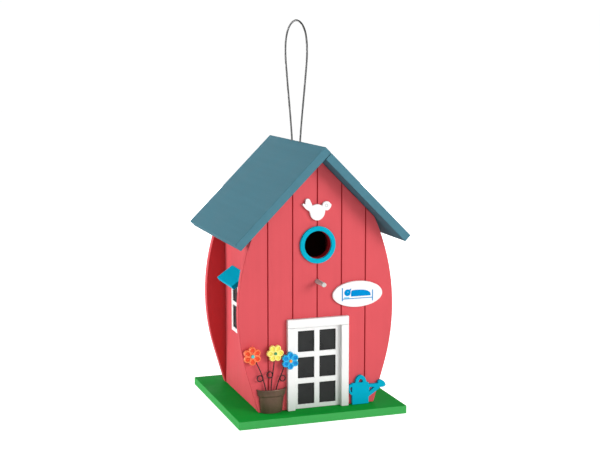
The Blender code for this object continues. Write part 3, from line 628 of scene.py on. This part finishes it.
def sweep(made, points, radius, sides):
    """Adds a round tube through the points, with closed ends, to the bmesh."""
    heading = (points[1] - points[0]).normalized()
    side = heading.orthogonal().normalized()
    rings = []
    for i, point in enumerate(points):
        ahead = points[min(i + 1, len(points) - 1)]
        behind = points[max(i - 1, 0)]
        new_heading = (ahead - behind).normalized()
        side = heading.rotation_difference(new_heading) @ side
        heading = new_heading
        other = heading.cross(side)
        ring = []
        for step in range(sides):
            angle = 2 * math.pi * step / sides
            offset = side * math.cos(angle) + other * math.sin(angle)
            ring.append(made.verts.new(point + radius * offset))
        rings.append(ring)
    for ring, following in zip(rings, rings[1:]):
        bridge(made, ring, following)
    made.faces.new(reversed(rings[0]))
    made.faces.new(rings[-1])


def round_corner(middle_radius, middle_out, rounding, start, end, steps=5):
    """Profile points along an arc about its middle, from one angle to another."""
    points = []
    for step in range(steps + 1):
        angle = math.radians(start + (end - start) * step / steps)
        radius = middle_radius + rounding * math.cos(angle)
        points.append((radius, middle_out + rounding * math.sin(angle)))
    return points


# Rope loop

ROPE_RADIUS = 1.05 * MM
ROPE_STRANDS = 6
ROPE_LAY = 9.0 * MM
ROPE_STEP = 0.6 * MM
# One leg, from its sleeve up: distance from the middle plane and height in millimetres
ROPE_LEG = (
    (13.3, 255.6), (13.3, 266.0), (13.4, 279.0), (17.8, 299.5), (22.5, 317.3),
    (27.3, 335.2), (31.1, 350.3), (33.8, 361.8), (34.5, 372.0), (33.0, 382.2),
    (27.6, 391.9), (16.5, 399.3),
)
ROPE_TOP_Z = 402.5
CURVE_STEPS = 60
WIRE_SIDES = 6
WIRE_FIT = 1.02
TINY = 1e-9


def curve_point(before, start, end, after, t):
    """A point between start and end on the smooth curve through four knots."""
    return 0.5 * (
        2 * start
        + (end - before) * t
        + (2 * before - 5 * start + 4 * end - after) * t**2
        + (3 * start - before - 3 * end + after) * t**3
    )


def rope_curve():
    """Close points on the smooth curve through both legs and the top."""
    leg = [Vector((0.0, -y * MM, z * MM)) for y, z in ROPE_LEG]
    top = [Vector((0.0, 0.0, ROPE_TOP_Z * MM))]
    knots = leg + top + [Vector((0.0, -point.y, point.z)) for point in reversed(leg)]
    knots = [2 * knots[0] - knots[1]] + knots + [2 * knots[-1] - knots[-2]]
    fine = []
    for four in zip(knots, knots[1:], knots[2:], knots[3:]):
        fine += [curve_point(*four, step / CURVE_STEPS) for step in range(CURVE_STEPS)]
    return fine + [knots[-2]]


def rope_centreline():
    """Evenly spaced points along the rope, and its length."""
    fine = rope_curve()
    length = sum((b - a).length for a, b in zip(fine, fine[1:]))
    count = round(length / ROPE_STEP)
    points = [fine[0]]
    travelled = 0.0
    for a, b in zip(fine, fine[1:]):
        step = (b - a).length
        wanted = length * len(points) / count
        while step and len(points) <= count and travelled + step >= wanted - TINY:
            points.append(a.lerp(b, (wanted - travelled) / step))
            wanted = length * len(points) / count
        travelled += step
    return points, length


def make_rope():
    """Six wires laid round a core, from one sleeve under the ridge to the other."""
    core, length = rope_centreline()
    last = len(core) - 1
    wire_radius = ROPE_RADIUS / 3
    made = bmesh.new()
    across = Vector((1.0, 0.0, 0.0))
    for strand in range(ROPE_STRANDS):
        path = []
        for i, point in enumerate(core):
            heading = (core[min(i + 1, last)] - core[max(i - 1, 0)]).normalized()
            other = heading.cross(across).normalized()
            turn = 2 * math.pi * (i * ROPE_STEP / ROPE_LAY + strand / ROPE_STRANDS)
            offset = across * math.cos(turn) + other * math.sin(turn)
            path.append(point + 2 * wire_radius * offset)
        sweep(made, path, wire_radius * WIRE_FIT, WIRE_SIDES)
    sweep(made, core[::4] + [core[-1]], wire_radius, WIRE_SIDES)
    mesh = mesh_of("wire_rope_loop", made)
    mesh.shade_smooth()
    rope = piece_from("wire_rope_loop", mesh, "rope_steel", "rope_steel", HOUSE, "hanger_loop")


# Flowers, stems and pot

STEM_RADIUS = 0.55 * MM
STEM_SIDES = 12
STEM_STEPS = 16
CURL_STEPS = 48
STEM_FOOT_Z = 12.0 * MM
STEM_OUT_LOW = 3.05 * MM
STEM_OUT_HIGH = 4.45 * MM
# Each stem's foot, bend and head as (x, z) in millimetres, how far along it the curl
# sits, and the curl's radius in millimetres and side
STEMS = {
    "left": ((-54.0, 21.0), (-57.2, 48.0), (-69.0, 66.5), 0.51, 2.9, -1),
    "middle": ((-51.0, 21.0), (-50.2, 42.0), (-46.9, 66.0), 0.62, 3.0, -1),
    "right": ((-48.5, 21.0), (-42.9, 41.0), (-36.4, 57.5), 0.63, 2.9, 1),
}
PETALS = 6
PETAL_SPREAD = 2 * math.pi / PETALS
PETAL_RADIUS = 3.6 * MM
PETAL_REACH = 6.1 * MM
PETAL_EDGE_WIDTH = 1.0 * MM
PETAL_EDGE_SHARE = 0.30
HOLLOW_REACH = 5.7 * MM
HOLLOW_LENGTH = 2.7 * MM
HOLLOW_START = 2.6 * MM
HOLLOW_NARROW = 0.5 * MM
HOLLOW_WIDE = 2.2 * MM
HOLLOW_FLARE = 0.50
HOLLOW_FADE = 1.35
HOLLOW_DEPTH = 0.85 * MM
HEAD_RINGS = 26
HEAD_STEPS = 180
HEAD_CROWDING = 1.35
# Each flower's first petal direction, slot, button material and button slot
FLOWERS = {
    "orange": (math.radians(90.0), "orange_enamel", "button_turquoise", "teal_enamel"),
    "yellow": (math.radians(60.0), "yellow_enamel", "button_green", "green_enamel"),
    "blue": (math.radians(90.0), "blue_enamel", "button_orange", "orange_enamel"),
}
# Shares of the button's radius and of its height
BUTTON_PROFILE = (
    (0.0, 0.86), (0.35, 0.88), (0.55, 0.97), (0.72, 1.0), (0.88, 0.86), (0.97, 0.55),
    (1.0, 0.2), (1.0, -0.35), (0.0, -0.35),
)
BUTTON_STEPS = 32


def stem_path(foot, bend, head, turn_at, radius, side):
    """A bent wire with one full curl, a little further from the wall above the curl."""
    foot, bend, head = (Vector(point) * MM for point in (foot, bend, head))
    radius = radius * MM

    def along(t):
        return (1 - t) ** 2 * foot + 2 * t * (1 - t) * bend + t**2 * head

    start = along(turn_at)
    heading = ((1 - turn_at) * (bend - foot) + turn_at * (head - bend)).normalized()
    inward = Vector((side * heading.y, -side * heading.x)) * radius
    rise = STEM_OUT_HIGH - STEM_OUT_LOW
    path = [(Vector((foot.x, STEM_FOOT_Z)), STEM_OUT_LOW)]
    for i in range(STEM_STEPS):
        path.append((along(turn_at * i / STEM_STEPS), STEM_OUT_LOW))
    for i in range(CURL_STEPS + 1):
        share = i / CURL_STEPS
        offset = Matrix.Rotation(side * -2 * math.pi * share, 2) @ -inward
        path.append((start + inward + offset, STEM_OUT_LOW + rise * share))
    for i in range(1, STEM_STEPS + 1):
        path.append((along(turn_at + (1 - turn_at) * i / STEM_STEPS), STEM_OUT_HIGH))
    return [Vector((point.x, FRONT_Y - out, point.y)) for point, out in path]


def make_stems():
    for name, shape in STEMS.items():
        made = bmesh.new()
        sweep(made, stem_path(*shape), STEM_RADIUS, STEM_SIDES)
        mesh = mesh_of(f"stem_{name}", made)
        smooth(mesh, 50.0)
        piece_from(f"stem_{name}", mesh, "wire", "dark_wire", HOUSE, f"flower_stem_{name}")


def off_petal(angle, first):
    """The angle from the middle line of the nearest petal."""
    return (angle - first + PETAL_SPREAD / 2) % PETAL_SPREAD - PETAL_SPREAD / 2


def petal_edge(off):
    """How far the flower's edge is from its middle, at an angle off a petal's line."""
    return PETAL_REACH * math.cos(off) + math.sqrt(
        PETAL_RADIUS**2 - (PETAL_REACH * math.sin(off)) ** 2
    )


def petal_relief(radius, off):
    """(height share, hollow share) of a pressed petal at a point."""
    side = min(1.0, max(0.0, (petal_edge(off) - radius) / PETAL_EDGE_WIDTH))
    height = math.sqrt(1 - (1 - side) ** 2)
    across = radius * math.sin(off)
    width = HOLLOW_NARROW + HOLLOW_FLARE * max(0.0, radius - HOLLOW_START)
    width = min(width, HOLLOW_WIDE)
    reach = ((radius - HOLLOW_REACH) / HOLLOW_LENGTH) ** 2 + (across / width) ** 2
    hollow = max(0.0, min(1.0, HOLLOW_FADE - reach))
    return height, hollow * hollow * (3 - 2 * hollow)


def make_flower_head(name, first):
    """A pressed tin flower: rounded edge, a raised rim and a hollow in each petal."""
    low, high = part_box(f"flower_head_{name}")
    centre = (low + high) / 2
    thickness = high.y - low.y
    size = max(high.x - low.x, high.z - low.z) / (2 * (PETAL_REACH + PETAL_RADIUS))
    made = bmesh.new()
    rows, hollows = [], []
    for ring in range(HEAD_RINGS + 1):
        share = 1 - (1 - ring / HEAD_RINGS) ** HEAD_CROWDING
        row = []
        for step in range(HEAD_STEPS):
            angle = 2 * math.pi * step / HEAD_STEPS
            off = off_petal(angle, first)
            radius = petal_edge(off) * share
            height, hollow = petal_relief(radius, off)
            height = PETAL_EDGE_SHARE + (1 - PETAL_EDGE_SHARE) * height
            x = centre.x + size * radius * math.cos(angle)
            y = high.y - (thickness * height - HOLLOW_DEPTH * hollow)
            z = centre.z + size * radius * math.sin(angle)
            row.append(made.verts.new((x, y, z)))
            hollows.append(hollow)
        rows.append(row)
    rows.append([made.verts.new((edge.co.x, high.y, edge.co.z)) for edge in rows[-1]])
    hollows += [0.0] * HEAD_STEPS
    for row, following in zip(rows, rows[1:]):
        bridge(made, row, following)
    made.faces.new(rows[-1])
    layer = made.verts.layers.float.new("hollow")
    for vertex, hollow in zip(made.verts, hollows):
        vertex[layer] = hollow
    bmesh.ops.remove_doubles(made, verts=made.verts, dist=WELD)
    mesh = mesh_of(f"petals_{name}", made)
    smooth(mesh, 50.0)
    return mesh


def make_flowers():
    for name, (first, slot, button_material, button_slot) in FLOWERS.items():
        mesh = make_flower_head(name, first)
        node = f"flower_head_{name}"
        piece_from(f"petals_{name}", mesh, f"petal_{name}", slot, HOUSE, node)
        low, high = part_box(f"flower_button_{name}")
        radius, height = (high.x - low.x) / 2, high.y - low.y
        profile = [(radius * share, height * rise) for share, rise in BUTTON_PROFILE]
        mesh = turned(f"button_{name}", profile, BUTTON_STEPS, wall_spot(low, high))
        node = f"flower_button_{name}"
        piece_from(f"button_{name}", mesh, button_material, button_slot, HOUSE, node)


POT_DEPTH_RATIO = 0.577
POT_STEPS = 64
# (radius, height) in millimetres, from the inside's floor over the rim to the foot
POT_PROFILE = (
    (0.0, 10.8), (9.6, 10.8), (9.9, 11.1), (13.6, 32.0), (14.4, 33.2), (14.9, 33.55),
    (15.4, 33.5), (15.75, 33.1), (15.7, 32.6), (15.45, 32.1), (14.65, 27.2),
    (14.5, 26.7), (14.1, 26.35), (13.6, 26.1), (13.4, 25.7), (13.25, 24.8),
    (11.5, 9.6), (11.3, 9.0), (10.9, 8.8), (0.0, 8.8),
)


def make_pot():
    """Half a pressed tin pot, with a rolled rim and a collar."""
    low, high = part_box("flower_pot")
    middle_x = (low.x + high.x) / 2
    made = bmesh.new()
    rings = []
    for step in range(POT_STEPS + 1):
        angle = math.pi + math.pi * step / POT_STEPS
        ring = []
        for radius, height in POT_PROFILE:
            x = middle_x + radius * MM * math.cos(angle)
            y = FRONT_Y + radius * MM * POT_DEPTH_RATIO * math.sin(angle)
            ring.append(made.verts.new((x, min(y, FRONT_Y - GAP), height * MM)))
        rings.append(ring)
    for ring, following in zip(rings, rings[1:]):
        bridge(made, ring, following, closed=False)
    made.faces.new(rings[0])
    made.faces.new(reversed(rings[-1]))
    bmesh.ops.remove_doubles(made, verts=made.verts, dist=WELD)
    bmesh.ops.dissolve_degenerate(made, edges=made.edges, dist=WELD)
    mesh = mesh_of("half_pot", made)
    smooth(mesh, 32.0)
    piece_from("half_pot", mesh, "pot_tin", "pot_metal", HOUSE, "flower_pot")


# Cut-out trim: outlines are (x, z) in millimetres, with True at a sharp corner

BIRD_OUTLINE = (
    (14.6, 7.6, True), (14.3, 5.9), (13.4, 4.1), (11.9, 2.5), (10.0, 1.7),
    (7.9, 2.0, True), (7.7, 0.1), (6.6, -3.5), (3.7, -6.8), (-0.4, -8.1), (-4.6, -6.7),
    (-7.6, -2.8), (-8.5, 0.8), (-11.8, 3.4), (-14.5, 6.2), (-16.0, 8.9), (-15.2, 9.5),
    (-13.1, 8.5, True), (-13.1, 11.5), (-12.5, 13.4), (-10.6, 14.3), (-8.6, 13.2),
    (-7.2, 10.4), (-5.7, 6.9, True), (-3.1, 7.8), (-0.4, 8.2), (2.6, 7.6),
    (4.6, 6.6, True), (5.5, 8.8), (7.5, 10.4), (10.0, 10.8), (12.2, 9.9), (13.4, 8.6),
)
BIRD_CENTRE = (-0.6, 211.1)
BIRD_EYE = (8.6, 217.8)
CAN_OUTLINE = (
    (37.6, 8.8, True), (55.8, 8.8, True), (55.8, 15.8, True), (62.6, 20.2, True),
    (69.3, 24.8, True), (72.8, 25.0), (74.5, 26.2), (74.0, 29.0), (71.8, 31.5),
    (68.4, 32.5), (65.9, 31.5, True), (66.4, 30.2), (65.4, 29.0, True), (55.8, 29.1, True),
    (55.5, 31.2, True), (53.4, 31.3, True), (52.5, 34.5), (50.4, 37.8), (47.0, 39.4),
    (43.7, 38.1), (41.6, 35.0), (40.8, 31.5, True), (37.5, 31.3, True), (37.4, 30.1, True),
    (35.4, 30.3), (34.0, 28.6), (34.2, 23.2), (35.3, 20.3), (37.5, 18.4, True),
)
CAN_TOP_HOLE = (
    (44.5, 31.6, True), (49.2, 31.5, True), (48.9, 33.7), (46.9, 35.4), (44.8, 33.8),
)
CAN_SIDE_HOLE = ((35.7, 27.2), (37.3, 27.6, True), (37.3, 21.4, True), (35.9, 23.0))
CAN_SPOUT_HOLE = ((56.4, 25.6, True), (62.4, 25.6, True), (56.4, 20.9, True))
EYE_RADII = (1.75, 1.05)
EYE_OUT = 0.15 * MM
# How far a raised mark reaches into the plate behind it
SUNK = 0.1 * MM


def in_metres(outline, centre=(0.0, 0.0)):
    return [
        ((point[0] + centre[0]) * MM, (point[1] + centre[1]) * MM, *point[2:])
        for point in outline
    ]


def oval(x, z, half_x, half_z, steps, *sharp):
    """Points round an oval, each a sharp corner if True follows."""
    points = []
    for step in range(steps):
        angle = 2 * math.pi * step / steps
        point = (x + half_x * math.cos(angle), z + half_z * math.sin(angle))
        points.append(point + sharp)
    return points


def circle(x, z, radius, steps=24):
    return oval(x, z, radius, radius, steps)


def box_outline(low_x, high_x, low_z, high_z):
    corners = ((low_x, low_z), (high_x, low_z), (high_x, high_z), (low_x, high_z))
    return [(x, z, True) for x, z in corners]


def make_bird():
    low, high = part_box("bird_cutout")
    outline = in_metres(BIRD_OUTLINE, BIRD_CENTRE)
    mesh = front_plate("bird", [outline], low.y, high.y, 0.6 * MM)
    piece_from("bird", mesh, "trim_white_x", "white_paint", HOUSE, "bird_cutout")
    eye = [in_metres(circle(*BIRD_EYE, radius)) for radius in EYE_RADII]
    mesh = front_plate("bird_eye", eye, low.y - EYE_OUT, low.y + SUNK, 0.1 * MM, 2)
    piece_from("bird_eye", mesh, "pale_grey", "white_paint", HOUSE)


def make_can():
    low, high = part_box("watering_can")
    outlines = [CAN_OUTLINE, CAN_TOP_HOLE, CAN_SIDE_HOLE, CAN_SPOUT_HOLE]
    outlines = [in_metres(outline) for outline in outlines]
    mesh = front_plate("garden_can", outlines, low.y, high.y, 0.35 * MM)
    piece_from("garden_can", mesh, "can_teal", "teal_paint", HOUSE, "watering_can")


SIGN_STEPS = 96
SIGN_BLANKET = (
    (35.7, 122.8, True), (57.3, 122.8, True), (57.2, 124.3), (55.8, 126.6),
    (53.4, 128.1), (50.0, 129.0), (45.0, 129.4), (38.0, 129.3), (36.2, 128.8), (35.7, 127.4),
)
SIGN_BEAK = ((32.9, 129.9, True), (35.9, 131.3, True), (34.9, 127.8, True))
# Each shape's outline, its material and how far it stands out in millimetres
SIGN_SHAPES = {
    "sign_post_left": (box_outline(25.6, 26.7, 118.6, 132.2), "ink_blue", 0.16),
    "sign_post_right": (box_outline(58.8, 59.8, 117.2, 128.7), "ink_blue", 0.16),
    "sign_rail": (box_outline(26.7, 58.8, 120.3, 121.1), "ink_blue", 0.16),
    "sign_pillow": (box_outline(28.2, 33.8, 121.1, 122.7), "ink_pale", 0.16),
    "sign_blanket": (SIGN_BLANKET, "ink_blue", 0.16),
    "sign_head": (circle(31.7, 127.0, 3.5), "ink_blue", 0.16),
    "sign_beak": (SIGN_BEAK, "ink_blue", 0.18),
    "sign_eye": (circle(32.2, 127.6, 0.42, 12), "ink_pale", 0.2),
}


def make_sign():
    """The oval plate and its own simple picture of a bird asleep in a bed."""
    low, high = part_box("sign_plate")
    centre, half = (low + high) / 2, (high - low) / 2
    plate = oval(centre.x, centre.z, half.x, half.z, SIGN_STEPS, True)
    mesh = front_plate("oval_sign", [plate], low.y, high.y, 0.6 * MM)
    piece_from("oval_sign", mesh, "trim_white_x", "white_paint", HOUSE, "sign_plate")
    for name, (outline, material, out) in SIGN_SHAPES.items():
        outlines = [in_metres(outline)]
        mesh = front_plate(name, outlines, low.y - out * MM, low.y + SUNK, 0.05 * MM, 1, 6)
        piece_from(name, mesh, material, "cyan_paint", HOUSE)


RING_OUTER = 19.0 * MM
RING_INNER = 14.2 * MM
RING_ROUNDING = 0.7 * MM
RING_STEPS = 128
PERCH_RADIUS = 2.3 * MM
PERCH_ROUNDING = 0.6 * MM
PERCH_STEPS = 40


def make_ring():
    low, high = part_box("entrance_ring")
    arc_out = high.y - low.y - RING_ROUNDING
    profile = round_corner(RING_OUTER - RING_ROUNDING, arc_out, RING_ROUNDING, 90.0, 0.0)
    profile += [(RING_OUTER, 0.0), (RING_INNER, 0.0)]
    profile += round_corner(RING_INNER + RING_ROUNDING, arc_out, RING_ROUNDING, 180.0, 90.0)
    place = wall_spot(low, high)
    mesh = turned("entrance_surround", profile, RING_STEPS, place, closed=True)
    piece_from("entrance_surround", mesh, "ring_cyan", "cyan_paint", HOUSE, "entrance_ring")


def make_perch():
    low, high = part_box("perch")
    length = high.y - low.y
    arc_radius, arc_out = PERCH_RADIUS - PERCH_ROUNDING, length - PERCH_ROUNDING
    profile = [(0.0, length)] + round_corner(arc_radius, arc_out, PERCH_ROUNDING, 90.0, 0.0)
    profile += [(PERCH_RADIUS, 0.4 * MM), (PERCH_RADIUS - 0.3 * MM, 0.0), (0.0, 0.0)]
    mesh = turned("peg", profile, PERCH_STEPS, wall_spot(low, high))
    piece_from("peg", mesh, "perch_wood", "bare_wood", HOUSE, "perch")


def refine(node, name, material, slot, body):
    """A welded, smooth-shaded copy of a CAD node's mesh that stands for it."""
    made = bmesh.new()
    made.from_mesh(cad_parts[node].data)
    bmesh.ops.remove_doubles(made, verts=made.verts, dist=WIDE_WELD)
    bmesh.ops.dissolve_limit(
        made, angle_limit=math.radians(0.2), verts=made.verts, edges=made.edges
    )
    mesh = mesh_of(name, made)
    smooth(mesh, 32.0)
    piece_from(name, mesh, material, slot, body, node)


def make_fixings():
    for end in ("front", "back"):
        refine(f"hanger_ferrule_{end}", f"rope_sleeve_{end}", "ferrule", "ferrule_metal", HOUSE)
        for side in ("left", "right"):
            screw = f"base_screw_{end}_{side}"
            name = f"floor_screw_{end}_{side}"
            refine(screw, name, "screw_brass", "screw_brass", HOUSE)
    refine("cleanout_screw", "pan_screw", "screw_zinc", "screw_steel", HOUSE)
    refine("cleanout_washer", "pan_washer", "screw_zinc", "screw_steel", HOUSE)


# The finish of each CAD node that shows as it is

CAD_FINISHES = {
    "base_board": "base_green",
    "front_wall": "front_red",
    "back_wall": "back_red",
    "left_side_wall": "wall_red",
    "right_side_wall": "wall_red",
    "cleanout_cover": "wall_red",
    "roof_board_left": "roof_blue",
    "roof_board_right": "roof_blue",
    "door_jamb_left": "trim_white_z",
    "door_jamb_right": "trim_white_z",
    "door_header": "trim_white_x",
    "door_leaf": "trim_white_z",
    "door_pane_panel": "panes",
    "window_frame_left": "trim_white_z",
    "window_frame_right": "trim_white_z",
    "window_pane_left": "panes",
    "window_pane_right": "panes",
    "awning_left": "awning_teal",
    "awning_right": "awning_teal",
}


def finish_cad_nodes():
    for node, material in CAD_FINISHES.items():
        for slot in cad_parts[node].material_slots:
            slot.material = MATERIALS[material]


bpy.context.scene.view_settings.view_transform = "Standard"
make_camera()
MATERIALS = make_materials()
make_rope()
make_studio()
make_stems()
make_flowers()
make_pot()
make_bird()
make_can()
make_sign()
make_ring()
make_perch()
make_fixings()
finish_cad_nodes()
